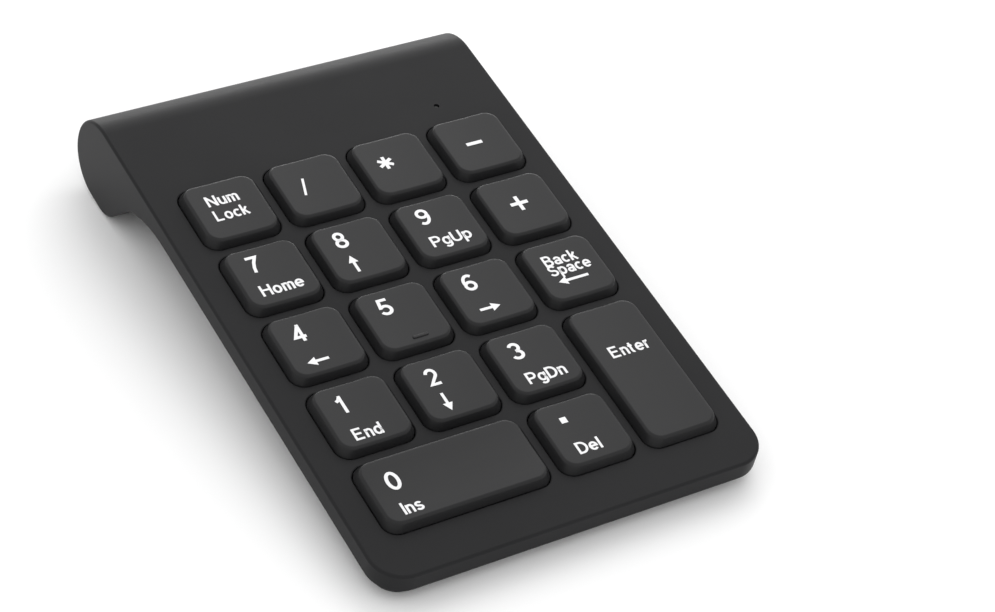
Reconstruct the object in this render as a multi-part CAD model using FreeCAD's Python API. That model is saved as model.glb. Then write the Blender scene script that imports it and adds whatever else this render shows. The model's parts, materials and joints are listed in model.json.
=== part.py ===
# Wireless numeric keypad: a thin key deck in front of a barrel that holds one AA cell.
# Everything is modelled square to the key deck, then tipped onto the table at the end.
# Deck axes, in mm: X to the right, Y to the rear, Z out of the deck. The origin is on the
# deck's surface, at the front left corner of the Num Lock key on the key grid.
import FreeCAD, Part
import math
import os

# ---- driving dimensions ------------------------------------------------------------
key_pitch = 19.0             # one key unit, both ways
web = 1.85                   # deck between two key windows
window_shift = -0.15         # a window's front left corner, from its place on the key grid
left, right = -5.95, 79.45   # the case's two flat ends
front = -85.5
front_corner_r = 6.75
case_edge_r = 0.6
side_wall = 4.6              # height of the case's edge under the deck
wall = 1.5                   # top cover's skin
end_wall = 1.8

barrel_rear = 48.8
barrel_bottom = -20.3
barrel_upper_r = 11.75       # from the deck's surface over to the rear
barrel_lower_r = 8.4         # from the rear under to the bottom
barrel_front_r = 7.0         # from the bottom up to the throat
throat_start = 8.0           # where the underside leaves the flat slab
throat_r = 28.0
throat_turn = 33.0           # degrees
throat_tight_r = 5.0
throat_slope = 50.0          # degrees, the barrel's front face
parting_z = -12.0            # rear edge where top cover and bottom cover meet

cap_gap = 0.22               # between a window's edge and the cap's skirt
cap_height = 2.0
cap_taper = 0.8              # the top is this much smaller than the skirt, each side
cap_skirt = 0.6              # skirt below the deck's surface
cap_wall = 0.9
cap_corner_r = 3.0
cap_top_corner_r = 2.4
cap_edge_r = 0.35
dish_depth = 0.22
hook_half = 1.0              # hooks either side of a stem that hold the cap in the guide plate
hook_inner, hook_outer = 6.1, 6.9
barb_outer = 7.45
hook_below = 0.6

floor_inner = -5.9
floor_t = 1.0
sheet_t = 0.13               # each of the three membrane sheets
plate_top, plate_bottom = -2.4, -3.0
stem_r = 2.3
stem_run = 0.06              # running clearance of a stem in its sleeve
sleeve_r = 3.2
sleeve_top = -1.45
dome_gap = 0.05
dome_base_r = 4.5

wire_r = 0.4                 # stabiliser wires
wire_arm = 7.0
wire_half = 13.0
wire_bar_z = -0.15
wire_foot_z = -2.2
wire_offset = 5.0
clip_half = 8.0              # from a wide key's middle to each of its clips

cell_r, cell_length = 7.1, 49.5
cell_y, cell_z = 38.6, -10.6
cell_left = 12.0
nub_r, nub_length = 2.75, 1.0

door_left, door_right = 8.0, 66.0
door_front = 37.0
door_gap = 0.3
door_thumb_r = 9.0           # ball that scoops the thumb hollow
door_pin_reach = 2.0
door_axis = (47.95, -12.95)  # y and z of the door's hinge
door_knuckle_r = 0.75
door_pin_r = 0.45
door_pin_run = 0.05

board_left, board_right = 22.0, 68.0
board_front, board_rear = 21.9, 31.0
board_t = 0.6

screw_r, screw_head_r = 0.6, 1.4
boss_r = 1.8
screw_crossings = ((1, 0), (3, 0), (1, 2), (3, 2), (2, 3))   # columns and rows of the key grid
board_screw_spots = ((26.0, 28.5), (41.0, 28.5))

foot_front_y, foot_front_z = -79.0, -7.9
foot_rear_y, foot_rear_z = 36.5, -20.8
foot_x = (4.0, 69.5)
rear_foot_x = (1.5, 72.0)

pinhole = (63.6, 22.5)
pinhole_r = 0.6

# ---- worked out from them -----------------------------------------------------------
belly = floor_inner - floor_t
sheet_top = floor_inner + 3 * sheet_t
stem_tip = plate_bottom - 0.06
tilt = math.degrees(math.atan2(foot_front_z - foot_rear_z, foot_rear_y - foot_front_y))
cell_right = cell_left + cell_length
board_top = floor_inner
wire_drop = wire_bar_z - wire_foot_z
web_middle = window_shift - web / 2
screw_spots = [(key_pitch * column + web_middle, web_middle - key_pitch * row)
               for column, row in screw_crossings]

# name, column, row from the rear, width and depth in units
keys = (
    ("num_lock", 0, 0, 1, 1), ("divide", 1, 0, 1, 1), ("multiply", 2, 0, 1, 1), ("subtract", 3, 0, 1, 1),
    ("7", 0, 1, 1, 1), ("8", 1, 1, 1, 1), ("9", 2, 1, 1, 1), ("add", 3, 1, 1, 1),
    ("4", 0, 2, 1, 1), ("5", 1, 2, 1, 1), ("6", 2, 2, 1, 1), ("backspace", 3, 2, 1, 1),
    ("1", 0, 3, 1, 1), ("2", 1, 3, 1, 1), ("3", 2, 3, 1, 1), ("enter", 3, 4, 1, 2),
    ("0", 0, 4, 2, 1), ("decimal", 2, 4, 1, 1),
)

V = FreeCAD.Vector
X_AXIS, Y_AXIS, Z_AXIS = V(1, 0, 0), V(0, 1, 0), V(0, 0, 1)


# ---- plain shapes -------------------------------------------------------------------
def block(x0, x1, y0, y1, z0, z1):
    return Part.makeBox(x1 - x0, y1 - y0, z1 - z0, V(x0, y0, z0))


def round_block(x0, x1, y0, y1, z0, z1, r):
    body = block(x0, x1, y0, y1, z0, z1)
    upright = [e for e in body.Edges if abs(e.tangentAt(e.FirstParameter).z) > 0.99]
    return body.makeFillet(r, upright)


def post(x, y, z0, z1, r):
    return Part.makeCylinder(r, z1 - z0, V(x, y, z0), Z_AXIS)


def rod_x(x0, x1, y, z, r):
    return Part.makeCylinder(r, x1 - x0, V(x0, y, z), X_AXIS)


def joined(shapes):
    return shapes[0].multiFuse(shapes[1:]).removeSplitter()


def less(shape, cutters):
    return shape.cut(Part.makeCompound(cutters))


def rounded_outline(x0, x1, y0, y1, z, r):
    """A rectangle with round corners, flat at height z."""
    corners = ((x1 - r, y0 + r, -90), (x1 - r, y1 - r, 0), (x0 + r, y1 - r, 90), (x0 + r, y0 + r, 180))
    arcs = [Part.makeCircle(r, V(x, y, z), Z_AXIS, a, a + 90) for x, y, a in corners]
    edges = []
    for this, after in zip(arcs, arcs[1:] + arcs[:1]):
        edges += [this, Part.makeLine(this.lastVertex().Point, after.firstVertex().Point)]
    return Part.Wire(edges)


# ---- case ---------------------------------------------------------------------------
def arc_yz(y, z, r, a0, a1):
    """An arc in the YZ plane, with its angles in degrees from +Y towards +Z."""
    def at(a):
        return V(0, y + r * math.cos(math.radians(a)), z + r * math.sin(math.radians(a)))
    return Part.Arc(at(a0), at((a0 + a1) / 2), at(a1)).toShape()


def side_profile(inset, top_inset):
    """The case seen from the end: slab, throat and barrel, with its skin taken off by inset."""
    turn, slope = math.radians(throat_turn), math.radians(throat_slope)
    zc = -side_wall - throat_r
    y2 = throat_start + (throat_r - throat_tight_r) * math.sin(turn)
    z2 = zc + (throat_r - throat_tight_r) * math.cos(turn)
    y_slope = y2 + throat_tight_r * math.sin(slope)
    z_slope = z2 + throat_tight_r * math.cos(slope)
    z3 = barrel_bottom + barrel_front_r
    z_round = z3 - barrel_front_r * math.cos(slope)
    y3 = y_slope + (z_slope - z_round) / math.tan(slope) + barrel_front_r * math.sin(slope)
    y4 = barrel_rear - barrel_lower_r
    y5 = barrel_rear - barrel_upper_r
    curves = [
        arc_yz(throat_start, zc, throat_r + inset, 90, 90 - throat_turn),
        arc_yz(y2, z2, throat_tight_r + inset, 90 - throat_turn, 90 - throat_slope),
        arc_yz(y3, z3, barrel_front_r - inset, 270 - throat_slope, 270),
        arc_yz(y4, barrel_bottom + barrel_lower_r, barrel_lower_r - inset, 270, 360),
        arc_yz(y5, -barrel_upper_r, barrel_upper_r - top_inset, 0, 90),
    ]
    y_front = front + inset
    start = V(0, y_front, -side_wall + inset)
    top_corner = V(0, y_front, -top_inset)
    edges = [Part.makeLine(start, curves[0].firstVertex().Point)]
    for this, after in zip(curves, curves[1:]):
        edges.append(this)
        gap = this.lastVertex().Point, after.firstVertex().Point
        if gap[0].distanceToPoint(gap[1]) > 1e-6:
            edges.append(Part.makeLine(*gap))
    edges.append(curves[-1])
    edges.append(Part.makeLine(curves[-1].lastVertex().Point, top_corner))
    edges.append(Part.makeLine(top_corner, start))
    return Part.Wire(edges)


def envelope(inset, x0, x1):
    """The solid inside side_profile between two ends."""
    face = Part.Face(side_profile(inset, inset))
    return face.extrude(V(x1 - x0, 0, 0)).translated(V(x0, 0, 0))


def key_square(column, row, width, depth):
    """A key's window: where it is from column and row, and how many units it spans."""
    x0 = column * key_pitch + window_shift
    y0 = -row * key_pitch + window_shift
    return x0, x0 + width * key_pitch - web, y0, y0 + depth * key_pitch - web


def make_outside():
    """The closed outer form of the case, with its front plan corners and its edges rounded."""
    body = envelope(0.0, left, right)

    def place(edge):
        return edge.CenterOfMass, edge.tangentAt((edge.FirstParameter + edge.LastParameter) / 2)
    upright = []
    for edge in body.Edges:
        mid, way = place(edge)
        if abs(way.z) > 0.99 and abs(mid.y - front) < 0.01:
            upright.append(edge)
    body = body.makeFillet(front_corner_r, upright)
    rim = []
    for edge in body.Edges:
        mid, way = place(edge)
        on_end = min(mid.x - left, right - mid.x) < 0.01
        on_front = mid.y < front + front_corner_r
        if (on_end or on_front) and not (abs(way.z) > 0.99 and mid.y < 0):
            rim.append(edge)
    return body.makeFillet(case_edge_r, rim)


def make_top_cover(outside):
    pocket = round_block(left + end_wall, right - end_wall, front + end_wall, 36, -40, -wall, 5.0)
    barrel_space = envelope(wall, left + end_wall, right - end_wall)
    barrel_space = barrel_space.common(block(left, right, throat_start, 80, -60, 0))
    under = envelope(-1.0, left + end_wall, right - end_wall)
    under = under.common(block(left, right, 0, 80, -60, parting_z))
    cover = less(outside, [pocket, barrel_space, under])
    windows = []
    for name, column, row, width, depth in keys:
        x0, x1, y0, y1 = key_square(column, row, width, depth)
        windows.append(round_block(x0, x1, y0, y1, -3, 3, cap_corner_r + cap_gap))
    windows.append(post(*pinhole, -3, 3, pinhole_r))
    cover = less(cover, windows)
    bosses = [post(x, y, floor_inner + 0.9, -wall, boss_r) for x, y in screw_spots]
    cover = joined([cover] + bosses)
    return less(cover, [post(x, y, floor_inner, -wall - 0.3, screw_r) for x, y in screw_spots])


def make_bottom_cover():
    gap = 0.1
    x0, x1 = left + end_wall + gap, right - end_wall - gap
    y0 = front + end_wall + gap
    tray = round_block(x0, x1, y0, 26, belly, -wall - gap, 4.9)
    barrel = envelope(0.0, x0, x1)
    barrel = barrel.common(block(left, right, throat_start, 80, -60, parting_z - gap))
    sill = envelope(0.0, x0, x1).common(block(left, right, throat_start, 32, -60, -wall - gap))
    body = joined([tray, barrel, sill])
    tray_space = round_block(x0 + wall, x1 - wall, y0 + wall, 21.0, floor_inner, 3, 3.4)
    barrel_space = envelope(wall, x0 + wall, x1 - wall)
    above = block(x0 + wall, x1 - wall, 15, 80, floor_inner, 3)
    above_barrel = block(left, right, 32, 80, parting_z - gap, 3)
    body = less(body, [tray_space, barrel_space, above, above_barrel])

    pads = [post(x, y, belly, floor_inner + 0.9, 2.3) for x, y in screw_spots]
    board_posts = [post(x, y, -17.0, board_top - board_t, 1.5) for x, y in board_screw_spots]
    inside = envelope(0.2, x0, x1)
    cradle_space = rod_x(left, right, cell_y, cell_z, cell_r + 0.3)
    ribs = []
    for x in (cell_left - 3.2, cell_right + nub_length + 1.6, cell_left + 14, cell_left + 34):
        rib = block(x, x + 1.2, 28, door_front - 0.5, -25, -9.0).common(inside)
        ribs.append(rib.cut(cradle_space))
    body = joined([body] + pads + [p.common(inside) for p in board_posts] + ribs)

    cuts = [post(x, y, belly - 1, floor_inner + 2, screw_r + 0.2) for x, y in screw_spots]
    cuts += [post(x, y, belly - 1, floor_inner, screw_head_r + 0.2) for x, y in screw_spots]
    cuts += [post(x, y, -9.0, 0, screw_r) for x, y in board_screw_spots]
    cuts.append(door_space(door_gap))
    socket = door_pin_reach + 0.2
    for x in (door_left, door_right):
        cuts.append(rod_x(x - socket, x + socket, *door_axis, door_pin_r + door_pin_run))
    cuts.append(block(*switch_slot()))
    return less(body, cuts)


def door_space(gap):
    """The part of the barrel's lower rear skin that the battery door fills, grown by gap."""
    skin = envelope(0.0 if gap == 0 else -1.0, door_left - gap, door_right + gap)
    skin = skin.cut(envelope(wall if gap == 0 else wall + 0.2, door_left - gap - 1, door_right + gap + 1))
    y_axis, z_axis = door_axis
    return skin.common(block(left, right, door_front - gap, 80, -60, z_axis + (0.0 if gap == 0 else 1.5)))


def make_battery_door():
    panel = door_space(0.0)
    y, z = door_axis
    knuckle = rod_x(door_left, door_right, y, z, door_knuckle_r)
    pins = rod_x(door_left - door_pin_reach, door_right + door_pin_reach, y, z, door_pin_r)
    inside = envelope(0.3, door_left, door_right)
    cell_space = rod_x(left, right, cell_y, cell_z, cell_r + 0.2)
    ribs = []
    for x in (door_left + 6, door_right - 7):
        rib = block(x, x + 1.0, door_front + 0.5, 47.0, -25, -14.5).common(inside)
        ribs.append(rib.cut(cell_space))
    door = joined([panel, knuckle, pins] + ribs)
    mid = (door_left + door_right) / 2
    thumb = Part.makeSphere(door_thumb_r, V(mid, door_front + 4.5, barrel_bottom - door_thumb_r + 0.6))
    return door.cut(thumb)


# ---- keys ---------------------------------------------------------------------------
def cap_body(x0, x1, y0, y1, inset, top):
    """A cap's outer form, a straight skirt under a taper, or with an inset the space inside it."""
    x0, x1, y0, y1 = x0 + inset, x1 - inset, y0 + inset, y1 - inset
    foot_r = cap_corner_r - inset / 2
    t = cap_taper * top / cap_height
    foot = rounded_outline(x0, x1, y0, y1, 0, foot_r)
    head = rounded_outline(x0 + t, x1 - t, y0 + t, y1 - t, top, cap_top_corner_r - inset / 2)
    skirt = round_block(x0, x1, y0, y1, -cap_skirt, 0, foot_r)
    return joined([skirt, Part.makeLoft([foot, head], True)])


def make_cap(column, row, width, depth):
    x0, x1, y0, y1 = key_square(column, row, width, depth)
    cx, cy = (x0 + x1) / 2, (y0 + y1) / 2
    x0, x1, y0, y1 = x0 + cap_gap, x1 - cap_gap, y0 + cap_gap, y1 - cap_gap
    cap = cap_body(x0, x1, y0, y1, 0.0, cap_height)
    half_top = (key_pitch - web) / 2 - cap_gap - cap_taper
    dish_r = (half_top ** 2 + dish_depth ** 2) / (2 * dish_depth)
    centre_z = cap_height + dish_r - dish_depth
    if width > 1:
        dish = rod_x(x0 - 1, x1 + 1, cy, centre_z, dish_r)
    else:
        dish = Part.makeCylinder(dish_r, y1 - y0 + 2, V(cx, y0 - 1, centre_z), Y_AXIS)
    cap = cap.cut(dish)
    rim = [e for e in cap.Edges if e.BoundBox.ZMin > cap_height - dish_depth - 0.05]
    cap = cap.makeFillet(cap_edge_r, rim)
    roof = cap_height - dish_depth - cap_wall
    cap = cap.cut(cap_body(x0, x1, y0, y1, cap_wall, roof))
    extras = [post(cx, cy, stem_tip, roof + 0.2, stem_r)]
    for side in (-1, 1):
        foot = plate_bottom - hook_below
        leg = block(cx - hook_half, cx + hook_half, cy + hook_inner, cy + hook_outer, foot, roof + 0.2)
        barb = block(cx - hook_half, cx + hook_half, cy + hook_outer, cy + barb_outer, foot, stem_tip)
        hook = leg.fuse(barb)
        if side < 0:
            hook = hook.rotated(V(cx, cy, 0), Z_AXIS, 180)
        extras.append(hook)
    if width * depth > 1:
        extras += [turned(clip, width, cx, cy) for clip in wire_clips(cx, cy, roof)]
    return joined([cap] + extras)


def make_dome(column, row, width, depth):
    """A silicone dome: flange, thin cone and a plunger nub under its crown."""
    x0, x1, y0, y1 = key_square(column, row, width, depth)
    height = stem_tip - dome_gap - sheet_top
    outline = [
        (0, height), (2.0, height), (2.3, height - 0.3), (3.3, 0.5), (dome_base_r, 0.4), (dome_base_r, 0),
        (3.4, 0), (3.0, 0.4), (2.0, height - 0.6), (1.1, height - 0.7), (1.1, 1.0), (0, 1.0), (0, height),
    ]
    cx, cy = (x0 + x1) / 2, (y0 + y1) / 2
    wire = Part.makePolygon([V(cx + r, cy, sheet_top + z) for r, z in outline])
    return Part.Face(wire).revolve(V(cx, cy, 0), Z_AXIS, 360)


# ---- stabilisers --------------------------------------------------------------------
def turned(shape, width, cx, cy):
    """A wide key's stabiliser runs along X and a deep key's along Y."""
    return shape if width > 1 else shape.rotated(V(cx, cy, 0), Z_AXIS, 90)


def wire_clips(cx, cy, roof):
    clips = []
    y = cy + wire_offset
    for x in (cx - clip_half, cx + clip_half):
        clip = block(x - 0.8, x + 0.8, y - 0.95, y + 0.95, -0.6, roof + 0.2)
        bore = rod_x(x - 2, x + 2, y, wire_bar_z, wire_r + 0.05)
        mouth = block(x - 2, x + 2, y - 0.28, y + 0.28, -2, wire_bar_z)
        clips.append(less(clip, [bore, mouth]))
    return clips


def stabiliser_key(which):
    """A wide key's middle, and its width."""
    column, row, width, depth = which
    x0, x1, y0, y1 = key_square(column, row, width, depth)
    return (x0 + x1) / 2, (y0 + y1) / 2, width


def make_wire(which):
    cx, cy, width = stabiliser_key(which)
    y = cy + wire_offset
    reach = math.sqrt(wire_arm ** 2 - wire_drop ** 2)
    bar = rod_x(cx - wire_half, cx + wire_half, y, wire_bar_z, wire_r)
    parts = [bar]
    for side in (-1, 1):
        x = cx + side * wire_half
        arm = Part.makeCylinder(wire_r, wire_arm, V(x, y, wire_bar_z), V(0, -reach, -wire_drop))
        foot_x = sorted((x, x - side * 2.6))
        foot = rod_x(foot_x[0], foot_x[1], y - reach, wire_foot_z, wire_r)
        parts += [arm, foot, Part.makeSphere(wire_r, V(x, y, wire_bar_z))]
        parts.append(Part.makeSphere(wire_r, V(x, y - reach, wire_foot_z)))
    return turned(joined(parts), width, cx, cy)


def wire_seats(which):
    """Brackets on the guide plate for a wire's feet, and what is cut for them."""
    cx, cy, width = stabiliser_key(which)
    y = cy + wire_offset
    blocks, cuts = [], []
    for side in (-1, 1):
        x = cx + side * wire_half
        b = sorted((x - side * 0.9, x - side * 2.1))
        blocks.append(block(b[0], b[1], y - 8.0, y - 5.6, plate_bottom, wire_foot_z + 0.82))
        f = sorted((x, x - side * 3.0))
        cuts.append(block(f[0], f[1], y - 7.5, y - 6.15, wire_foot_z - 0.5, wire_foot_z + 0.5))
        a = sorted((x + side * 0.8, x - side * 0.8))
        cuts.append(block(a[0], a[1], y - 8.0, y - 3.6, plate_bottom - 1, plate_top + 1))
    return [turned(s, width, cx, cy) for s in blocks], [turned(s, width, cx, cy) for s in cuts]


wide_keys = [k[1:] for k in keys if k[3] * k[4] > 1]


# ---- inside the case ----------------------------------------------------------------
def inner_sheet(z0, z1, rear, hole_r):
    x0, x1 = left + end_wall + wall + 0.3, right - end_wall - wall - 0.3
    y0 = front + end_wall + wall + 0.3
    sheet = round_block(x0, x1, y0, rear, z0, z1, 3.0)
    return less(sheet, [post(x, y, z0 - 1, z1 + 1, hole_r) for x, y in screw_spots])


def make_guide_plate():
    plate = inner_sheet(plate_bottom, plate_top, 18.6, boss_r + 0.1)
    sleeves, cuts = [], []
    for name, column, row, width, depth in keys:
        x0, x1, y0, y1 = key_square(column, row, width, depth)
        cx, cy = (x0 + x1) / 2, (y0 + y1) / 2
        sleeves.append(post(cx, cy, plate_bottom, sleeve_top, sleeve_r))
        cuts.append(post(cx, cy, -6, 0, stem_r + stem_run))
        for side in (-1, 1):
            ys = sorted((cy + side * 5.7, cy + side * 7.2))
            cuts.append(block(cx - 1.35, cx + 1.35, ys[0], ys[1], -6, 0))
    seats = []
    for which in wide_keys:
        blocks, slots = wire_seats(which)
        seats += blocks
        cuts += slots
    return less(joined([plate] + sleeves + seats), cuts)


def make_membrane(layer):
    z0 = floor_inner + layer * sheet_t
    sheet = inner_sheet(z0, z0 + sheet_t, 15.5, 2.6)
    tail = block(34, 46, 15.0, 24.4, z0, z0 + sheet_t)
    sheet = joined([sheet, tail])
    if layer != 1:
        return sheet
    holes = []
    for name, column, row, width, depth in keys:
        x0, x1, y0, y1 = key_square(column, row, width, depth)
        holes.append(post((x0 + x1) / 2, (y0 + y1) / 2, z0 - 1, z0 + 1, 2.0))
    return less(sheet, holes)


def make_circuit_board():
    board = round_block(board_left, board_right, board_front, board_rear,
                        board_top - board_t, board_top, 1.0)
    lead_notch = block(cell_right - 0.5, board_right + 1, board_front + 6.0, board_rear + 1, -10, 0)
    return less(board, [lead_notch] + [post(x, y, -10, 0, screw_r + 0.2) for x, y in board_screw_spots])


def switch_box():
    return 8.0, 16.2, 16.6, 20.2


def switch_slot():
    x0, x1, y0, y1 = switch_box()
    return x0 + 1.6, x1 - 1.6, 17.5, 19.3, belly - 1, floor_inner + 0.5


def make_switch_body():
    x0, x1, y0, y1 = switch_box()
    body = round_block(x0, x1, y0, y1, floor_inner, -3.5, 0.4)
    return body.cut(block(x0 + 0.7, x1 - 0.7, 17.2, 19.6, floor_inner - 1, -4.4))


def make_switch_slider():
    x0, x1, y0, y1 = switch_box()
    foot = block(x0 + 1.0, x1 - 3.2, 17.5, 19.3, floor_inner + 0.1, -4.7)
    knob_x0 = x0 + 2.0
    knob = block(knob_x0, knob_x0 + 2.4, 17.8, 19.0, belly + 0.1, floor_inner + 0.1)
    grooves = [block(knob_x0 + 0.5 + 0.6 * i, knob_x0 + 0.7 + 0.6 * i, 17, 20, belly, belly + 0.3)
               for i in range(3)]
    return less(joined([foot, knob]), grooves)


def make_cell():
    x1 = cell_right
    can = rod_x(cell_left, x1, cell_y, cell_z, cell_r)
    can = can.makeFillet(0.5, [e for e in can.Edges if e.Curve.TypeId == "Part::GeomCircle"])
    nub = rod_x(x1 - 0.2, x1 + nub_length, cell_y, cell_z, nub_r)
    return joined([can, nub])


def make_spring_contact():
    """A plate at the cell's flat end, with a conical coil pressed nearly flat against it."""
    plate_x = cell_left - 2.0
    plate = block(plate_x, plate_x + 0.3, cell_y - 4.5, cell_y + 4.5, cell_z - 5.0, cell_z + 5.0)
    tab = block(plate_x, plate_x + 0.3, cell_y - 6.5, cell_y - 4.5, cell_z + 1.0, cell_z + 3.5)
    wire, step = 0.35, 0.36
    turns = []
    for turn in range(3):
        x = plate_x + 0.3 + wire - 0.05 + turn * step
        turns.append(Part.makeTorus(4.0 - 0.55 * turn, wire, V(x, cell_y, cell_z), X_AXIS))
    return joined([plate, tab] + turns)


def make_positive_contact():
    x = cell_right + nub_length
    plate = block(x, x + 0.3, cell_y - 4.5, cell_y + 4.5, cell_z - 5.0, cell_z + 5.0)
    tab = block(x, x + 0.3, cell_y - 6.5, cell_y - 4.5, cell_z + 1.0, cell_z + 3.5)
    return joined([plate, tab])


def lead(points, r):
    """A lead of straight runs joined by tangent arcs."""
    path = []
    at = V(*points[0])
    for before, corner, after in zip(points, points[1:], points[2:]):
        p, q, n = V(*before), V(*corner), V(*after)
        a, b = (p - q), (n - q)
        bend = min(a.Length, b.Length) * 0.45
        a.normalize()
        b.normalize()
        start, end = q + a * bend, q + b * bend
        half = a.getAngle(b) / 2
        radius = bend * math.tan(half)
        to_centre = (a + b).normalize()
        middle = q + to_centre * (radius / math.sin(half) - radius)
        path += [Part.makeLine(at, start), Part.Arc(start, middle, end).toShape()]
        at = end
    path.append(Part.makeLine(at, V(*points[-1])))
    first = V(*points[1]) - V(*points[0])
    section = Part.Wire([Part.makeCircle(r, V(*points[0]), first)])
    return Part.Wire(path).makePipeShell([section], True, False)


def make_leads():
    """Two leads from the contacts' solder tabs to pads on the board."""
    tab_y, tab_z = cell_y - 6.5, cell_z + 2.25
    x0 = cell_left - 1.85
    x1 = cell_right + nub_length + 0.15
    lead_r = 0.45
    top = board_top + lead_r + 0.03
    black = lead([
        (x0, tab_y - 0.12, tab_z),
        (x0 + 0.4, tab_y - 2.6, tab_z + 0.8),
        (x0 + 6.5, 27.6, top + 0.4),
        (board_left + 1.2, 25.8, top),
        (board_left + 5.0, 25.2, top),
    ], lead_r)
    red = lead([
        (x1, tab_y - 0.4, tab_z),
        (x1 + 0.5, tab_y - 2.2, tab_z + 3.1),
        (x1 + 2.2, 26.8, top),
        (x1 + 2.0, 24.4, top),
    ], lead_r)
    return Part.makeCompound([black, red])


def case_screw(x, y):
    head = post(x, y, belly + 0.15, belly + 0.95, screw_head_r)
    slot = joined([block(x - 0.9, x + 0.9, y - 0.15, y + 0.15, belly, belly + 0.5),
                   block(x - 0.15, x + 0.15, y - 0.9, y + 0.9, belly, belly + 0.5)])
    shank = post(x, y, belly + 0.95, -wall - 0.4, screw_r)
    return joined([head.cut(slot), shank])


def board_screw(x, y):
    head = post(x, y, board_top, board_top + 0.7, screw_head_r - 0.2)
    slot = block(x - 0.8, x + 0.8, y - 0.15, y + 0.15, board_top + 0.4, board_top + 1)
    return joined([head.cut(slot), post(x, y, -8.8, board_top, screw_r)])


# ---- tipping onto the table ---------------------------------------------------------
def ground_z(y):
    """Height of the table in the deck's own axes."""
    return foot_front_z - (y - foot_front_y) * math.tan(math.radians(tilt))


def make_foot(x, y, bottom_skin, half_x, half_y):
    """A pad let a little into the case, with its sole cut flat on the table."""
    pad = round_block(x - half_x, x + half_x, y - half_y, y + half_y,
                      bottom_skin - 5, bottom_skin, half_y - 0.1)
    x0, y0, y1, deep = x - 40, y - 20, y + 20, -60
    outline = [(y0, ground_z(y0)), (y1, ground_z(y1)), (y1, deep), (y0, deep), (y0, ground_z(y0))]
    under_table = Part.Face(Part.makePolygon([V(x0, along, up) for along, up in outline]))
    return pad.cut(under_table.extrude(V(80, 0, 0)))


def front_feet():
    return [make_foot(x, foot_front_y, belly, 4.0, 2.6) for x in foot_x]


def rear_feet():
    inside = envelope(0.0, left, right)
    return [make_foot(x, foot_rear_y, barrel_bottom + 1, 4.0, 2.0).cut(inside) for x in rear_foot_x]


def on_table(shape):
    """Turn the deck's axes to the table's and put the origin under the middle of the case."""
    placed = shape.copy()
    placed.rotate(V(0, 0, 0), X_AXIS, tilt)
    c, s = math.cos(math.radians(tilt)), math.sin(math.radians(tilt))
    drop = foot_front_y * s + foot_front_z * c
    placed.translate(V(-(left + right) / 2, -middle_y, -drop))
    return placed


outside = make_outside()
middle_y = 0.0
tipped = on_table(outside).optimalBoundingBox(False)
middle_y = (tipped.YMin + tipped.YMax) / 2

nodes = {"top_cover": make_top_cover(outside), "bottom_cover": make_bottom_cover()}
nodes["battery_door"] = make_battery_door()
for name, *place in keys:
    nodes["keycap_" + name] = make_cap(*place)
    nodes["dome_" + name] = make_dome(*place)
for name, place in zip(("enter", "0"), wide_keys):
    nodes["stabiliser_wire_" + name] = make_wire(place)
nodes["guide_plate"] = make_guide_plate()
for layer, name in enumerate(("lower", "spacer", "upper")):
    nodes["membrane_" + name] = make_membrane(layer)
nodes["circuit_board"] = make_circuit_board()
nodes["controller_chip"] = round_block(48, 55, 23.4, 30.0, board_top, board_top + 0.9, 0.2)
nodes["crystal"] = round_block(57.2, 60.4, 25.4, 27.9, board_top, board_top + 0.8, 0.5)
nodes["indicator_led"] = block(pinhole[0] - 1.0, pinhole[0] + 1.0, 21.95, 23.05, board_top, board_top + 0.7)
nodes["light_pipe"] = post(*pinhole, board_top + 0.75, -0.35, pinhole_r)
nodes["power_switch_body"] = make_switch_body()
nodes["power_switch_slider"] = make_switch_slider()
nodes["battery_cell"] = make_cell()
nodes["negative_spring_contact"] = make_spring_contact()
nodes["positive_contact"] = make_positive_contact()
nodes["battery_leads"] = make_leads()
nodes["case_screws"] = Part.makeCompound([case_screw(x, y) for x, y in screw_spots])
nodes["board_screws"] = Part.makeCompound([board_screw(x, y) for x, y in board_screw_spots])
nodes["front_feet"] = Part.makeCompound(front_feet())
nodes["rear_feet"] = Part.makeCompound(rear_feet())

os.makedirs("parts", exist_ok=True)
for name, shape in nodes.items():
    placed = on_table(shape)
    solids = len(placed.Solids)
    if not placed.isValid() or solids == 0:
        print("CHECK", name, placed.isValid(), solids)
    if solids > 1 and placed.ShapeType != "Compound":
        print("several solids in", name, solids)
    placed.exportStep("parts/" + name + ".step")
print("tilt", round(tilt, 4), "middle_y", round(middle_y, 4), "nodes", len(nodes))
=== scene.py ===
import json
import math
import bmesh
import bpy
from mathutils import Matrix, Vector


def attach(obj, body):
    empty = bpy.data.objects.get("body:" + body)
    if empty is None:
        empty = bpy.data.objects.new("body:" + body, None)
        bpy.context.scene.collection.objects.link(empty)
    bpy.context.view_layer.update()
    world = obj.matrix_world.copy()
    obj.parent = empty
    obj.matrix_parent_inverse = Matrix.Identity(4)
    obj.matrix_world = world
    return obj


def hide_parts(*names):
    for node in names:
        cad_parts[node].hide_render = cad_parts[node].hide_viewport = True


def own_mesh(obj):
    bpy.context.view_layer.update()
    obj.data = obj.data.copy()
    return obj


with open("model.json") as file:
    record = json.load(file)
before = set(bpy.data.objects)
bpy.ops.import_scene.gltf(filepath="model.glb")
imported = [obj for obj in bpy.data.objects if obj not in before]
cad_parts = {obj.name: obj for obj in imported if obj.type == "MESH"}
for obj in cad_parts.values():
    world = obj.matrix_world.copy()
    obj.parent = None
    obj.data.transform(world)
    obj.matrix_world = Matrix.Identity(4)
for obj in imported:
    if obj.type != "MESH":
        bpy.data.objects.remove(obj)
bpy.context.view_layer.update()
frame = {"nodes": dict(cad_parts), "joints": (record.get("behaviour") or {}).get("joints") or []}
scene = bpy.context.scene

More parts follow.
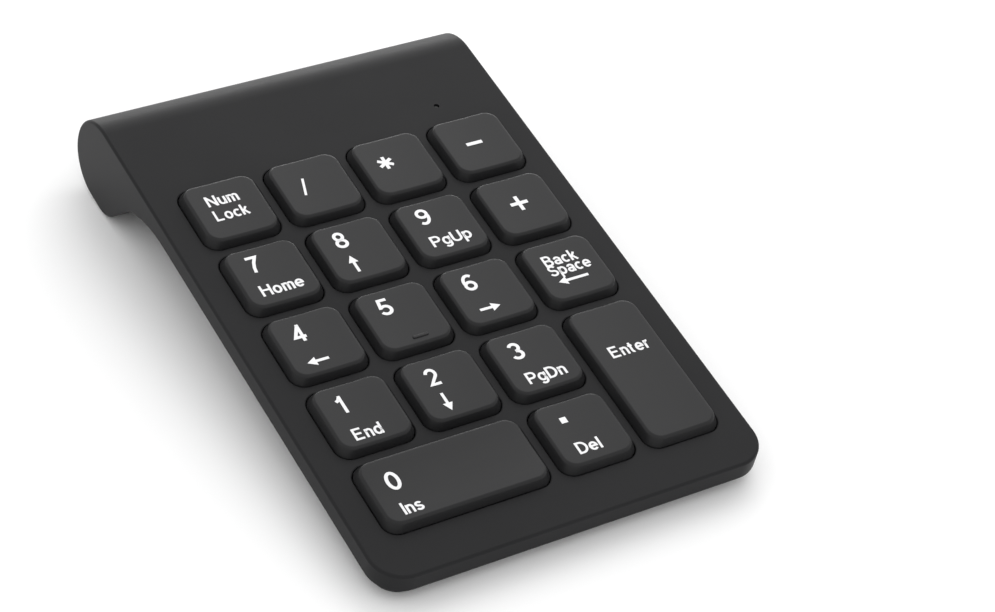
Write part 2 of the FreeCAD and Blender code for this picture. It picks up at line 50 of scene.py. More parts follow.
# ---- Camera -------------------------------------------------------------------------
# Product view from the front left, looking down on the keys, with the keypad turned a
# little in the view. A long lens keeps the rows of keys nearly parallel.
aim = Vector((0.01287, -0.01191, 0.010))
camera_distance = 0.5674
camera_azimuth = math.radians(36.12)
camera_elevation = math.radians(40.72)
camera_roll = math.radians(8.99)
camera = bpy.data.objects.new("camera", bpy.data.cameras.new("camera"))
camera.data.lens = 103.08
camera.data.clip_start = 0.01
turn = Matrix.Rotation(-camera_azimuth, 4, "Z")
turn = turn @ Matrix.Rotation(math.pi / 2 - camera_elevation, 4, "X")
turn = turn @ Matrix.Rotation(camera_roll, 4, "Z")
camera.matrix_world = Matrix.Translation(aim + turn.to_3x3() @ Vector((0, 0, camera_distance))) @ turn
scene.collection.objects.link(camera)
scene.camera = camera
scene.view_settings.view_transform = "Standard"


# ---- Finishes -----------------------------------------------------------------------
# Every finish below is built with these two: a Finish is a material being made, and a
# Wire is one output in it, which adds Math nodes as sums and products are written.
class Wire:
    def __init__(self, finish, socket):
        self.finish = finish
        self.socket = socket

    def math(self, operation, a, b=0.0):
        return self.finish.node("ShaderNodeMath", {"operation": operation}, {0: a, 1: b})

    def __add__(self, other):
        return self.math("ADD", self, other)

    def __mul__(self, other):
        return self.math("MULTIPLY", self, other)

    __radd__ = __add__
    __rmul__ = __mul__

    def step(self, low, high):
        """0 below low, 1 above high, and smooth between."""
        sockets = {"Value": self, "From Min": low, "From Max": high}
        return self.finish.node("ShaderNodeMapRange", {"interpolation_type": "SMOOTHSTEP"}, sockets)


class Finish:
    def __init__(self, name):
        self.material = bpy.data.materials.new(name)
        self.material.use_nodes = True
        self.tree = self.material.node_tree
        self.shader = self.tree.nodes["Principled BSDF"]
        self.place = self.node("ShaderNodeTexCoord", out="Object")

    def node(self, kind, settings=None, sockets=None, out=0):
        node = self.tree.nodes.new(kind)
        for key, value in (settings or {}).items():
            setattr(node, key, value)
        for key, value in (sockets or {}).items():
            self.join(node.inputs[key], value)
        return Wire(self, node.outputs[out])

    def join(self, socket, value):
        if isinstance(value, Wire):
            self.tree.links.new(value.socket, socket)
        else:
            socket.default_value = value

    def set(self, sockets):
        for key, value in sockets.items():
            self.join(self.shader.inputs[key], value)

    def noise(self, scale, detail=2.0, rough=0.5):
        return self.node("ShaderNodeTexNoise", None,
                         {"Vector": self.place, "Scale": scale, "Detail": detail, "Roughness": rough})

    def between(self, amount, first, second):
        sockets = {"Factor": amount, 6: (*first, 1), 7: (*second, 1)}
        return self.node("ShaderNodeMix", {"data_type": "RGBA"}, sockets, out=2)

    def bump(self, height, distance, strength=1.0):
        sockets = {"Height": height, "Distance": distance, "Strength": strength}
        return self.node("ShaderNodeBump", None, sockets)


def moulded(name, colour, lighter, roughness, grain_scale, grain_height, spec=0.1):
    """Moulded ABS: an even, spark-eroded grain, with slow drifts in tone and gloss."""
    finish = Finish(name)
    drift = finish.noise(45.0, 3.0)
    grain = finish.noise(grain_scale, 3.0, 0.65)
    fine = finish.noise(grain_scale * 3.1, 2.0)
    tone = drift * 0.6 + grain * 0.4
    finish.set({
        "Base Color": finish.between(tone.step(0.3, 0.7), colour, lighter),
        "Roughness": roughness - 0.05 + drift * 0.06 + grain * 0.05,
        "Specular IOR Level": spec,
        "Normal": finish.bump(grain * 0.7 + fine * 0.3, grain_height),
    })
    return finish.material


# ---- Floor and light ----------------------------------------------------------------
# A plain white sweep under an even sky, with one large overhead softbox and a strip
# behind the barrel, as in a small product tent.
floor_half = 1.6
floor_mesh = bmesh.new()
bmesh.ops.create_grid(floor_mesh, x_segments=1, y_segments=1, size=floor_half)
floor_data = bpy.data.meshes.new("floor")
floor_mesh.to_mesh(floor_data)
floor_mesh.free()
floor = bpy.data.objects.new("floor", floor_data)
scene.collection.objects.link(floor)
paper = Finish("white_paper")
paper.set({"Base Color": (0.92, 0.92, 0.92, 1), "Roughness": 0.9, "Specular IOR Level": 0.1})
floor.data.materials.append(paper.material)

world = bpy.data.worlds.new("tent")
world.use_nodes = True
world.node_tree.nodes["Background"].inputs["Color"].default_value = (1.0, 1.0, 1.0, 1)
world.node_tree.nodes["Background"].inputs["Strength"].default_value = 1.06
scene.world = world


def softbox(name, place, target, width, depth, watts):
    light = bpy.data.lights.new(name, "AREA")
    light.shape = "RECTANGLE"
    light.size = width
    light.size_y = depth
    light.energy = watts
    lamp = bpy.data.objects.new(name, light)
    aim_at = (Vector(target) - Vector(place)).to_track_quat("-Z", "Y")
    lamp.matrix_world = Matrix.Translation(place) @ aim_at.to_matrix().to_4x4()
    scene.collection.objects.link(lamp)


softbox("overhead", (0.42, 0.48, 0.72), (0, 0, 0), 0.8, 0.6, 2.1)
softbox("rear_strip", (0.27, 0.55, 0.10), (0, 0.03, 0.01), 0.5, 0.07, 0.9)


# ---- Top cover ------------------------------------------------------------------------
# One moulding in satin black ABS: the key deck, its thin edge, both flat ends and the
# barrel's upper half. The windows' rims are a little rounded where the tool closes.
#
# The keypad stands tipped up on its barrel. New pieces are modelled square to the key
# deck, in mm, and deck takes them to the table. Its origin is on the deck's surface.
joints = {joint["name"]: joint for joint in frame["joints"]}
press = Vector(joints["press_5"]["axis"])
tilt = math.atan2(press.y, -press.z)
hinge_on_deck = Vector((37.0, 47.95, -12.95))
deck = Matrix.Rotation(tilt, 4, "X") @ Matrix.Scale(0.001, 4)
deck = Matrix.Translation(Vector(joints["battery_door_hinge"]["pos_m"]) - deck @ hinge_on_deck) @ deck


def deck_box(node):
    """A CAD node's lowest and highest corners, square to the deck and in mm."""
    from_table = deck.inverted()
    places = [from_table @ vertex.co for vertex in frame["nodes"][node].data.vertices]
    low = [min(place[axis] for place in places) for axis in range(3)]
    high = [max(place[axis] for place in places) for axis in range(3)]
    return Vector(low), Vector(high)


def piece(name, shape, body, finish, replaced=(), crease=32.0):
    """One bmesh, already at the table, as an object that rides on a body."""
    data = bpy.data.meshes.new(name)
    shape.to_mesh(data)
    shape.free()
    data.polygons.foreach_set("use_smooth", [True] * len(data.polygons))
    data.set_sharp_from_angle(angle=math.radians(crease))
    data.materials.append(finish)
    made = bpy.data.objects.new(name, data)
    scene.collection.objects.link(made)
    even = made.modifiers.new("even_normals", "WEIGHTED_NORMAL")
    even.keep_sharp = True
    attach(made, body)
    if replaced:
        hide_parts(*replaced)
    return made


def at_table(shape):
    """Turns a finished deck bmesh to the table, with its faces outwards."""
    shape.transform(deck)
    bmesh.ops.recalc_face_normals(shape, faces=shape.faces)
    return shape


def rounded_block(x0, x1, y0, y1, z0, z1, radius, steps):
    """A box with round upright edges."""
    shape = bmesh.new()
    middle = Vector((x0 + x1, y0 + y1, z0 + z1)) / 2
    size = Matrix.Diagonal((x1 - x0, y1 - y0, z1 - z0, 1))
    bmesh.ops.create_cube(shape, size=1.0, matrix=Matrix.Translation(middle) @ size)
    upright = [edge for edge in shape.edges if abs(edge.verts[0].co.z - edge.verts[1].co.z) > 0.001]
    bmesh.ops.bevel(shape, geom=upright, offset=radius, segments=steps, profile=0.5,
                    affect="EDGES", material=-1)
    return shape


def top_face(shape):
    return max(shape.faces, key=lambda face: round(face.calc_center_median().z, 4) + face.normal.z)


def grow(shape, face, rise, outwards):
    """Extrudes a face by rise, with its outline moved outwards by the same amount all round."""
    made = bmesh.ops.extrude_face_region(shape, geom=[face])["geom"]
    bmesh.ops.delete(shape, geom=[face], context="FACES_ONLY")
    corners = [part for part in made if isinstance(part, bmesh.types.BMVert)]
    bmesh.ops.translate(shape, verts=corners, vec=(0, 0, rise))
    width = [max(v.co[axis] for v in corners) - min(v.co[axis] for v in corners) for axis in (0, 1)]
    middle = [(max(v.co[axis] for v in corners) + min(v.co[axis] for v in corners)) / 2
              for axis in (0, 1)]
    factor = [(size + 2 * outwards) / size for size in width]
    about = Matrix.Translation((-middle[0], -middle[1], 0))
    bmesh.ops.scale(shape, vec=(factor[0], factor[1], 1), space=about, verts=corners)
    return [part for part in made if isinstance(part, bmesh.types.BMFace)][0]


def join_in(shape, other):
    """Adds another bmesh's faces to shape."""
    data = bpy.data.meshes.new("joined")
    other.to_mesh(data)
    other.free()
    shape.from_mesh(data)
    bpy.data.meshes.remove(data)


case_low, case_high = deck_box("top_cover")
case_left, case_right, case_front = case_low.x, case_high.x, case_low.y
case_edge = 0.6
front_corner = 6.75
slab_edge = 4.6
skin = 1.5
end_wall = 1.8
parting = -12.0
window_gap = 0.22
window_radius = 3.22
boss_radius = 1.8
boss_shift = 0.825
pinhole = (63.6, 22.5)
pinhole_radius = 0.6


def turned_about(shape, last, y, z, degrees, steps):
    """Carries an outline on round an arc, from its last vertex."""
    made = bmesh.ops.spin(shape, geom=[last], cent=(0, y, z), axis=(1, 0, 0), dvec=(0, 0, 0),
                          angle=math.radians(degrees), steps=steps, use_duplicate=False)
    return [part for part in made["geom_last"] if isinstance(part, bmesh.types.BMVert)][0]


def case_form(inset, x0, x1):
    """Slab, throat and barrel as one solid between two ends, smaller by inset all round."""
    throat_start, throat_radius, throat_turn = 8.0, 28.0 + inset, 33.0
    tight_radius, slope = 5.0 + inset, 50.0
    front_radius, lower_radius, upper_radius = 7.0 - inset, 8.4 - inset, 11.75 - inset
    rear, bottom = 48.8, -20.3 + inset
    shape = bmesh.new()
    first = shape.verts.new((x0, case_front + inset, -slab_edge + inset))
    last = shape.verts.new((x0, throat_start, -slab_edge + inset))
    shape.edges.new((first, last))
    last = turned_about(shape, last, throat_start, last.co.z - throat_radius, -throat_turn, 8)
    lean = math.radians(throat_turn)
    centre = last.co.yz - tight_radius * Vector((math.sin(lean), math.cos(lean)))
    last = turned_about(shape, last, *centre, throat_turn - slope, 3)
    lean = math.radians(slope)
    round_z = bottom + front_radius * (1 - math.cos(lean))
    run = (last.co.z - round_z) / math.tan(lean)
    ahead = shape.verts.new((x0, last.co.y + run, round_z))
    shape.edges.new((last, ahead))
    centre_y = ahead.co.y + front_radius * math.sin(lean)
    last = turned_about(shape, ahead, centre_y, bottom + front_radius, slope, 7)
    for y, z, radius, steps in ((rear - inset - lower_radius, bottom + lower_radius, lower_radius, 18),
                                (rear - inset - upper_radius, -inset - upper_radius, upper_radius, 24)):
        start = (y, z - radius) if radius == lower_radius else (y + radius, z)
        ahead = shape.verts.new((x0, *start))
        shape.edges.new((last, ahead))
        last = turned_about(shape, ahead, y, z, 90, steps)
    corner = shape.verts.new((x0, case_front + inset, -inset))
    shape.edges.new((last, corner))
    shape.edges.new((corner, first))
    bmesh.ops.contextual_create(shape, geom=shape.edges[:])
    made = bmesh.ops.extrude_face_region(shape, geom=shape.faces[:])["geom"]
    corners = [part for part in made if isinstance(part, bmesh.types.BMVert)]
    bmesh.ops.translate(shape, verts=corners, vec=(x1 - x0, 0, 0))
    bmesh.ops.recalc_face_normals(shape, faces=shape.faces)
    return shape


def carved(shape, cutters):
    """The shape after each cutter has been taken out of it, as a new bmesh."""
    things = []
    for part in [shape] + cutters:
        data = bpy.data.meshes.new("carving")
        bmesh.ops.recalc_face_normals(part, faces=part.faces)
        part.to_mesh(data)
        part.free()
        things.append(bpy.data.objects.new("carving", data))
        scene.collection.objects.link(things[-1])
    for cutter in things[1:]:
        cut = things[0].modifiers.new("cut", "BOOLEAN")
        cut.operation = "DIFFERENCE"
        cut.solver = "EXACT"
        cut.object = cutter
    done = bpy.data.meshes.new_from_object(things[0].evaluated_get(bpy.context.evaluated_depsgraph_get()))
    result = bmesh.new()
    result.from_mesh(done)
    for thing in things:
        bpy.data.objects.remove(thing)
    return result


cover = case_form(0.0, case_left, case_right)
upright = [edge for edge in cover.edges
           if all(abs(v.co.y - case_front) < 0.01 for v in edge.verts)
           and abs(edge.verts[0].co.x - edge.verts[1].co.x) < 0.01]
bmesh.ops.bevel(cover, geom=upright, offset=front_corner, segments=12, profile=0.5,
                affect="EDGES", material=-1)
rim = []
for edge in cover.edges:
    way = edge.verts[1].co - edge.verts[0].co
    middle = (edge.verts[0].co + edge.verts[1].co) / 2
    on_end = min(middle.x - case_left, case_right - middle.x) < 0.01
    on_front = middle.y < case_front + front_corner and abs(way.z) < 0.01
    if (on_end or on_front) and abs(way.x) + abs(way.y) > 0.001:
        rim.append(edge)
    elif on_end and middle.y > 0:
        rim.append(edge)
bmesh.ops.bevel(cover, geom=rim, offset=case_edge, segments=4, profile=0.5, affect="EDGES", material=-1,
                clamp_overlap=True)

keys = sorted(name[len("keycap_"):] for name in frame["nodes"] if name.startswith("keycap_"))
cap_boxes = {key: deck_box("keycap_" + key) for key in keys}
windows = bmesh.new()
for low, high in cap_boxes.values():
    window = rounded_block(low.x - window_gap, high.x + window_gap,
                           low.y - window_gap, high.y + window_gap, -4.0, -0.2, window_radius, 8)
    face = grow(window, top_face(window), 0.12, 0.05)
    face = grow(window, face, 0.08, 0.13)
    grow(window, face, 0.5, 0.35)
    join_in(windows, window)
bmesh.ops.create_cone(windows, cap_ends=True, segments=32, radius1=pinhole_radius, radius2=pinhole_radius,
                      depth=8.0, matrix=Matrix.Translation((*pinhole, 0)))
inner_left, inner_right = case_left + end_wall, case_right - end_wall
pocket = rounded_block(inner_left, inner_right, case_front + end_wall, 36.0, -40.0, -skin, 5.0, 6)
barrel_space = case_form(skin, inner_left, inner_right)
front_part = [v for v in barrel_space.verts if v.co.y < 0]
bmesh.ops.translate(barrel_space, verts=front_part, vec=(0, -case_front, 0))
under = rounded_block(inner_left, inner_right, 0.0, 80.0, -60.0, parting, 0.01, 1)
cover = carved(cover, [windows, pocket, barrel_space, under])
boss_top = -5.0
grid = 19.0
for column, row in ((1, 0), (3, 0), (1, 2), (3, 2), (2, 3)):
    spot = Matrix.Translation((grid * column - boss_shift, -grid * row - boss_shift,
                               (boss_top - skin + 0.2) / 2))
    bmesh.ops.create_cone(cover, cap_ends=True, segments=32, radius1=boss_radius, radius2=boss_radius,
                          depth=-skin + 0.2 - boss_top, matrix=spot)
case_abs = moulded("case_abs", (0.0155, 0.0155, 0.0163), (0.0190, 0.0190, 0.0199),
                   0.43, 4200.0, 0.000012, 0.08)
piece("top_cover_shell", at_table(cover), "case", case_abs, ["top_cover"], crease=28.0)


# ---- Indicator ------------------------------------------------------------------------
# A smoked acrylic light pipe stands just under the pinhole, over a lamp on the board.
def finished(node, material):
    """A CAD node that keeps its shape and takes a finish."""
    data = frame["nodes"][node].data
    data.materials.clear()
    data.materials.append(material)


smoked = Finish("smoked_acrylic")
clouding = smoked.noise(900.0)
smoked.set({
    "Base Color": smoked.between(clouding, (0.002, 0.002, 0.002), (0.005, 0.005, 0.006)),
    "Roughness": 0.15 + clouding * 0.1,
    "Specular IOR Level": 0.2,
})
finished("light_pipe", smoked.material)

lamp_body = Finish("lamp_epoxy")
phosphor = lamp_body.noise(2500.0, 1.0)
lamp_body.set({
    "Base Color": lamp_body.between(phosphor, (0.62, 0.60, 0.42), (0.80, 0.79, 0.66)),
    "Roughness": 0.25 + phosphor * 0.1,
})
finished("indicator_led", lamp_body.material)


# ---- Bottom cover, battery door and feet ---------------------------------------------
# The underside is one moulding that fits between the top cover's ends, with the battery
# door let into the barrel and four rubber pads. They keep the CAD's shapes, with their
# triangles merged so that their curves shade smoothly.
def merged(node):
    shape = bmesh.new()
    shape.from_mesh(frame["nodes"][node].data)
    bmesh.ops.remove_doubles(shape, verts=shape.verts, dist=0.000001)
    bmesh.ops.dissolve_limit(shape, angle_limit=math.radians(0.4), verts=shape.verts, edges=shape.edges)
    return shape


under_abs = moulded("underside_abs", (0.0150, 0.0150, 0.0156), (0.0200, 0.0200, 0.0205),
                    0.52, 2600.0, 0.00003)
piece("bottom_cover_shell", merged("bottom_cover"), "case", under_abs,
      ["bottom_cover"])
piece("battery_door_panel", merged("battery_door"), "door", under_abs, ["battery_door"])

rubber = Finish("foot_rubber")
dust = rubber.noise(700.0, 4.0, 0.7)
rubber.set({
    "Base Color": rubber.between(dust.step(0.35, 0.8), (0.016, 0.016, 0.016), (0.045, 0.044, 0.042)),
    "Roughness": 0.75 + dust * 0.15,
    "Normal": rubber.bump(rubber.noise(3000.0, 3.0), 0.00004),
})
for side in ("front", "rear"):
    piece(side + "_foot_pads", merged(side + "_feet"), "case", rubber.material, [side + "_feet"])


# ---- Keycaps --------------------------------------------------------------------------
# Eighteen moulded caps: a straight skirt in its window, steep tapered sides, a rounded
# shoulder and a top dished across its width. Each has a guide stem and two hooks.
cap_radius = 3.0
cap_taper = 0.8
cap_height = 2.0
shoulder = 0.5
dish = 0.22
cap_wall = 0.9
stem_radius = 2.3
stem_above_hooks = 0.54
hook_width = 2.0
key_abs = moulded("key_abs", (0.0145, 0.0145, 0.0152), (0.0176, 0.0176, 0.0184),
                  0.36, 4800.0, 0.000010, 0.19)


def dish_drop(key, x, y):
    """How far a cap's top is below its rim's highest point; the wide key dips the other way."""
    low, high = cap_boxes[key]
    wide = high.x - low.x > 1.5 * (high.y - low.y)
    middle = (low + high) / 2
    reach = (high.y - low.y if wide else high.x - low.x) / 2 - cap_taper
    off = min(1.0, abs((y - middle.y if wide else x - middle.x) / reach))
    return dish * (1 - off * off)


def make_cap(key):
    low, high = cap_boxes[key]
    cap = rounded_block(low.x, high.x, low.y, high.y, -0.6, 0.0, cap_radius, 8)
    straight = [edge for edge in cap.edges if edge.calc_length() > 5.0]
    bmesh.ops.subdivide_edges(cap, edges=straight, cuts=10)
    face = grow(cap, top_face(cap), cap_height, -cap_taper)
    bmesh.ops.bevel(cap, geom=face.edges[:], offset=shoulder, segments=5, profile=0.5,
                    affect="EDGES", material=-1)
    face = top_face(cap)
    for ring in range(4):
        face = grow(cap, face, 0.0, -1.6)
    for vertex in cap.verts:
        if vertex.co.z > cap_height - 2 * shoulder:
            vertex.co.z -= dish_drop(key, vertex.co.x, vertex.co.y)

    foot = min(cap.faces, key=lambda face: face.calc_center_median().z)
    roof = cap_height - dish - cap_wall
    bmesh.ops.inset_region(cap, faces=[foot], thickness=cap_wall, use_even_offset=True)
    made = bmesh.ops.extrude_face_region(cap, geom=[foot])["geom"]
    bmesh.ops.delete(cap, geom=[foot], context="FACES_ONLY")
    lifted = [part for part in made if isinstance(part, bmesh.types.BMVert)]
    bmesh.ops.translate(cap, verts=lifted, vec=(0, 0, roof + 0.6))

    middle = (low + high) / 2
    stem_low = low.z + stem_above_hooks
    stem = Matrix.Translation((middle.x, middle.y, (stem_low + roof + 0.2) / 2))
    bmesh.ops.create_cone(cap, cap_ends=True, segments=32, radius1=stem_radius, radius2=stem_radius,
                          depth=roof + 0.2 - stem_low, matrix=stem)
    for side in (-1, 1):
        for depth, reach, bottom, height in ((0.8, 6.5, low.z, roof + 0.2), (1.3, 6.75, low.z, stem_low)):
            size = Matrix.Diagonal((hook_width, depth, height - bottom, 1))
            place = Matrix.Translation((middle.x, middle.y + side * reach, (bottom + height) / 2))
            bmesh.ops.create_cube(cap, size=1.0, matrix=place @ size)
    return cap


for key in keys:
    cap = make_cap(key)
    if key == "5":
        low, high = cap_boxes[key]
        bar = rounded_block(low.x + 7.4, low.x + 10.9, low.y + 2.2, low.y + 2.95, 1.4, 2.03, 0.35, 5)
        bmesh.ops.bevel(bar, geom=top_face(bar).edges[:], offset=0.2, segments=3, profile=0.5,
                        affect="EDGES", material=-1)
        join_in(cap, bar)
    piece("cap_" + key, at_table(cap), "key_" + key, key_abs, ["keycap_" + key])


# ---- Legends --------------------------------------------------------------------------
# White pad-printed figures, words and arrows, a thin film of ink that follows each top.
ink_height = 0.03
ink = Finish("white_ink")
stipple = ink.noise(2600.0, 3.0)
ink.set({
    "Base Color": ink.between(stipple, (0.74, 0.74, 0.75), (0.86, 0.86, 0.87)),
    "Roughness": 0.42 + stipple * 0.12,
    "Normal": ink.bump(stipple, 0.000006),
})


def arc(x, y, wide, high, start, end):
    """Points on an ellipse, with angles in degrees."""
    steps = max(4, int(abs(end - start) / 12))
    turns = [math.radians(start + (end - start) * step / steps) for step in range(steps + 1)]
    return [(x + wide * math.cos(turn), y + high * math.sin(turn)) for turn in turns]


# Upright grotesque letters as strokes, one unit high in their capitals.
stroke = 0.16
bowl = arc(0.28, 0.36, 0.21, 0.29, 0, 360)
ring = arc(0.31, 0.30, 0.24, 0.225, 0, 360)
hook = arc(0.37, 0.49, 0.30, 0.435, 55, 190)
strokes = {
    "0": [arc(0.31, 0.5, 0.24, 0.43, 0, 360)],
    "1": [[(0.06, 0.70), (0.20, 0.77), (0.31, 0.93)], [(0.31, 1.0), (0.31, 0.0)]],
    "2": [arc(0.31, 0.68, 0.23, 0.25, 170, -35) + [(0.10, 0.075), (0.58, 0.075)]],
    "3": [arc(0.30, 0.715, 0.21, 0.21, 160, -90), arc(0.30, 0.29, 0.24, 0.215, 90, -160)],
    "4": [[(0.62, 0.27), (0.08, 0.27), (0.44, 0.92)], [(0.44, 1.0), (0.44, 0.0)]],
    "5": [[(0.55, 0.925), (0.17, 0.925), (0.11, 0.48)] + arc(0.30, 0.31, 0.24, 0.24, 135, -155)],
    "6": [ring, hook],
    "7": [[(0.05, 0.925), (0.56, 0.925), (0.37, 0.60), (0.26, 0.30), (0.22, 0.0)]],
    "8": [arc(0.31, 0.72, 0.20, 0.205, 0, 360), arc(0.31, 0.29, 0.24, 0.215, 0, 360)],
    "9": [[(0.62 - x, 1 - y) for x, y in part] for part in (ring, hook)],
    "N": [[(0.08, 0.0), (0.08, 1.0)], [(0.09, 0.95), (0.63, 0.05)], [(0.64, 0.0), (0.64, 1.0)]],
    "L": [[(0.08, 1.0), (0.08, 0.075), (0.56, 0.075)]],
    "H": [[(0.08, 0.0), (0.08, 1.0)], [(0.64, 0.0), (0.64, 1.0)], [(0.08, 0.54), (0.64, 0.54)]],
    "P": [[(0.08, 0.0), (0.08, 0.925)] + arc(0.38, 0.69, 0.22, 0.235, 90, -90) + [(0.08, 0.455)]],
    "U": [[(0.08, 1.0)] + arc(0.35, 0.34, 0.27, 0.265, 180, 360) + [(0.62, 1.0)]],
    "B": [[(0.36, 0.52)] + arc(0.36, 0.29, 0.24, 0.215, 90, -90) + [(0.08, 0.075), (0.08, 0.925)]
          + arc(0.35, 0.725, 0.20, 0.20, 90, -90) + [(0.08, 0.52)]],
    "S": [arc(0.33, 0.715, 0.23, 0.21, 20, 270), arc(0.33, 0.29, 0.25, 0.215, 90, -165)],
    "E": [[(0.60, 0.925), (0.08, 0.925), (0.08, 0.075), (0.62, 0.075)], [(0.08, 0.52), (0.56, 0.52)]],
    "I": [[(0.08, 0.0), (0.08, 1.0)]],
    "D": [[(0.28, 0.075), (0.08, 0.075), (0.08, 0.925)] + arc(0.28, 0.5, 0.36, 0.425, 90, -90)],
    "o": [bowl],
    "e": [[(0.07, 0.37)] + arc(0.28, 0.36, 0.21, 0.29, 2, 320)],
    "c": [arc(0.28, 0.36, 0.21, 0.29, 45, 315)],
    "a": [arc(0.27, 0.46, 0.19, 0.20, 160, 0) + [(0.46, 0.0)], arc(0.25, 0.22, 0.18, 0.15, 0, 360)],
    "u": [[(0.08, 0.72)] + arc(0.26, 0.27, 0.18, 0.20, 180, 360), [(0.45, 0.72), (0.45, 0.0)]],
    "n": [[(0.08, 0.0), (0.08, 0.72)], arc(0.26, 0.45, 0.18, 0.20, 180, 0) + [(0.44, 0.0)]],
    "m": [[(0.08, 0.0), (0.08, 0.72)], arc(0.23, 0.50, 0.15, 0.155, 180, 0) + [(0.38, 0.0)],
          arc(0.53, 0.50, 0.15, 0.155, 180, 0) + [(0.68, 0.0)]],
    "k": [[(0.08, 0.0), (0.08, 1.0)], [(0.08, 0.26), (0.42, 0.72)], [(0.20, 0.42), (0.46, 0.0)]],
    "g": [bowl, [(0.49, 0.72)] + arc(0.28, 0.0, 0.21, 0.21, 0, -150)],
    "p": [[(0.08, -0.28), (0.08, 0.72)], bowl],
    "d": [[(0.49, 0.0), (0.49, 1.0)], bowl],
    "s": [arc(0.26, 0.52, 0.17, 0.14, 20, 270), arc(0.26, 0.215, 0.19, 0.145, 90, -165)],
    "l": [[(0.08, 0.0), (0.08, 1.0)]],
    "t": [[(0.15, 0.92)] + arc(0.26, 0.19, 0.11, 0.115, 180, 280), [(0.0, 0.65), (0.30, 0.65)]],
    "r": [[(0.08, 0.0), (0.08, 0.72)], arc(0.25, 0.44, 0.17, 0.21, 180, 75)],
    "/": [[(0.0, 0.0), (0.26, 1.0)]],
    "+": [[(0.0, 0.5), (1.0, 0.5)], [(0.5, 0.0), (0.5, 1.0)]],
    "−": [[(0.0, 0.5), (1.0, 0.5)]],
    ".": [[(0.0, 0.5), (1.0, 0.5)]],
    "*": [[(0.5 - 0.5 * math.cos(turn), 0.5 - 0.5 * math.sin(turn)),
           (0.5 + 0.5 * math.cos(turn), 0.5 + 0.5 * math.sin(turn))]
          for turn in (math.radians(30), math.radians(90), math.radians(150))],
}
heavy = {"+": 0.21, "*": 0.21, "−": 0.25, ".": 1.0, "/": 0.10}


def ribbon(points, width):
    """A flat stroke along points as a closed solid two units thick, with mitred corners."""
    shape = bmesh.new()
    closed = (Vector(points[0]) - Vector(points[-1])).length < 0.001
    steps = [(Vector(after) - Vector(before)).normalized()
             for before, after in zip(points, points[1:])]
    rows = []
    for place, point in enumerate(points[:-1] if closed else points):
        leave = steps[min(place, len(steps) - 1)]
        arrive = steps[place - 1] if place or closed else leave
        along = (arrive + leave).normalized()
        across = Vector((-along.y, along.x)) * (width / 2 / max(0.5, along.dot(leave)))
        sides = Vector(point) + across, Vector(point) - across
        rows.append([shape.verts.new((*sides[side], level))
                     for side, level in ((0, -1), (1, -1), (1, 1), (0, 1))])
    pairs = list(zip(rows, rows[1:]))
    if closed:
        pairs.append((rows[-1], rows[0]))
    else:
        shape.faces.new(rows[0])
        shape.faces.new(rows[-1])
    for this, following in pairs:
        for corner in range(4):
            after = (corner + 1) % 4
            shape.faces.new((this[corner], this[after], following[after], following[corner]))
    return shape


def lettering(text):
    """Text as flat solids one unit high in its capitals, on its baseline."""
    shape = bmesh.new()
    weight = heavy.get(text, stroke)
    pen = 0.0
    for letter in text:
        reach = 0.0
        for points in strokes[letter]:
            join_in(shape, ribbon([(pen + x, y) for x, y in points], weight))
            reach = max([reach] + [x for x, y in points])
        pen += reach + stroke / 2 + 0.08
    return shape


def fit(shape, left, bottom, width, height, baseline=True):
    """Scales a flat solid to a box; words keep their letters' tails below the box."""
    xs = [v.co.x for v in shape.verts]
    ys = [v.co.y for v in shape.verts]
    tail = 0.0 if baseline else min(ys)
    grow_x = width / (max(xs) - min(xs))
    grow_y = height / (max(ys) - tail)
    for vertex in shape.verts:
        vertex.co.x = left + (vertex.co.x - min(xs)) * grow_x
        vertex.co.y = bottom + (vertex.co.y - tail) * grow_y
    return shape


def arrow(length, thick, head_width, head_length):
    """A flat arrow that points along +X from the origin, two units thick."""
    shape = bmesh.new()
    neck = length - head_length
    half = [(0, thick / 2), (neck, thick / 2), (neck, head_width / 2), (length, 0)]
    outline = half + [(x, -y) for x, y in reversed(half[:-1])]
    shape.faces.new([shape.verts.new((x, y, -1)) for x, y in outline])
    made = bmesh.ops.extrude_face_region(shape, geom=shape.faces[:])["geom"]
    raised = [part for part in made if isinstance(part, bmesh.types.BMVert)]
    bmesh.ops.translate(shape, verts=raised, vec=(0, 0, 2))
    return shape


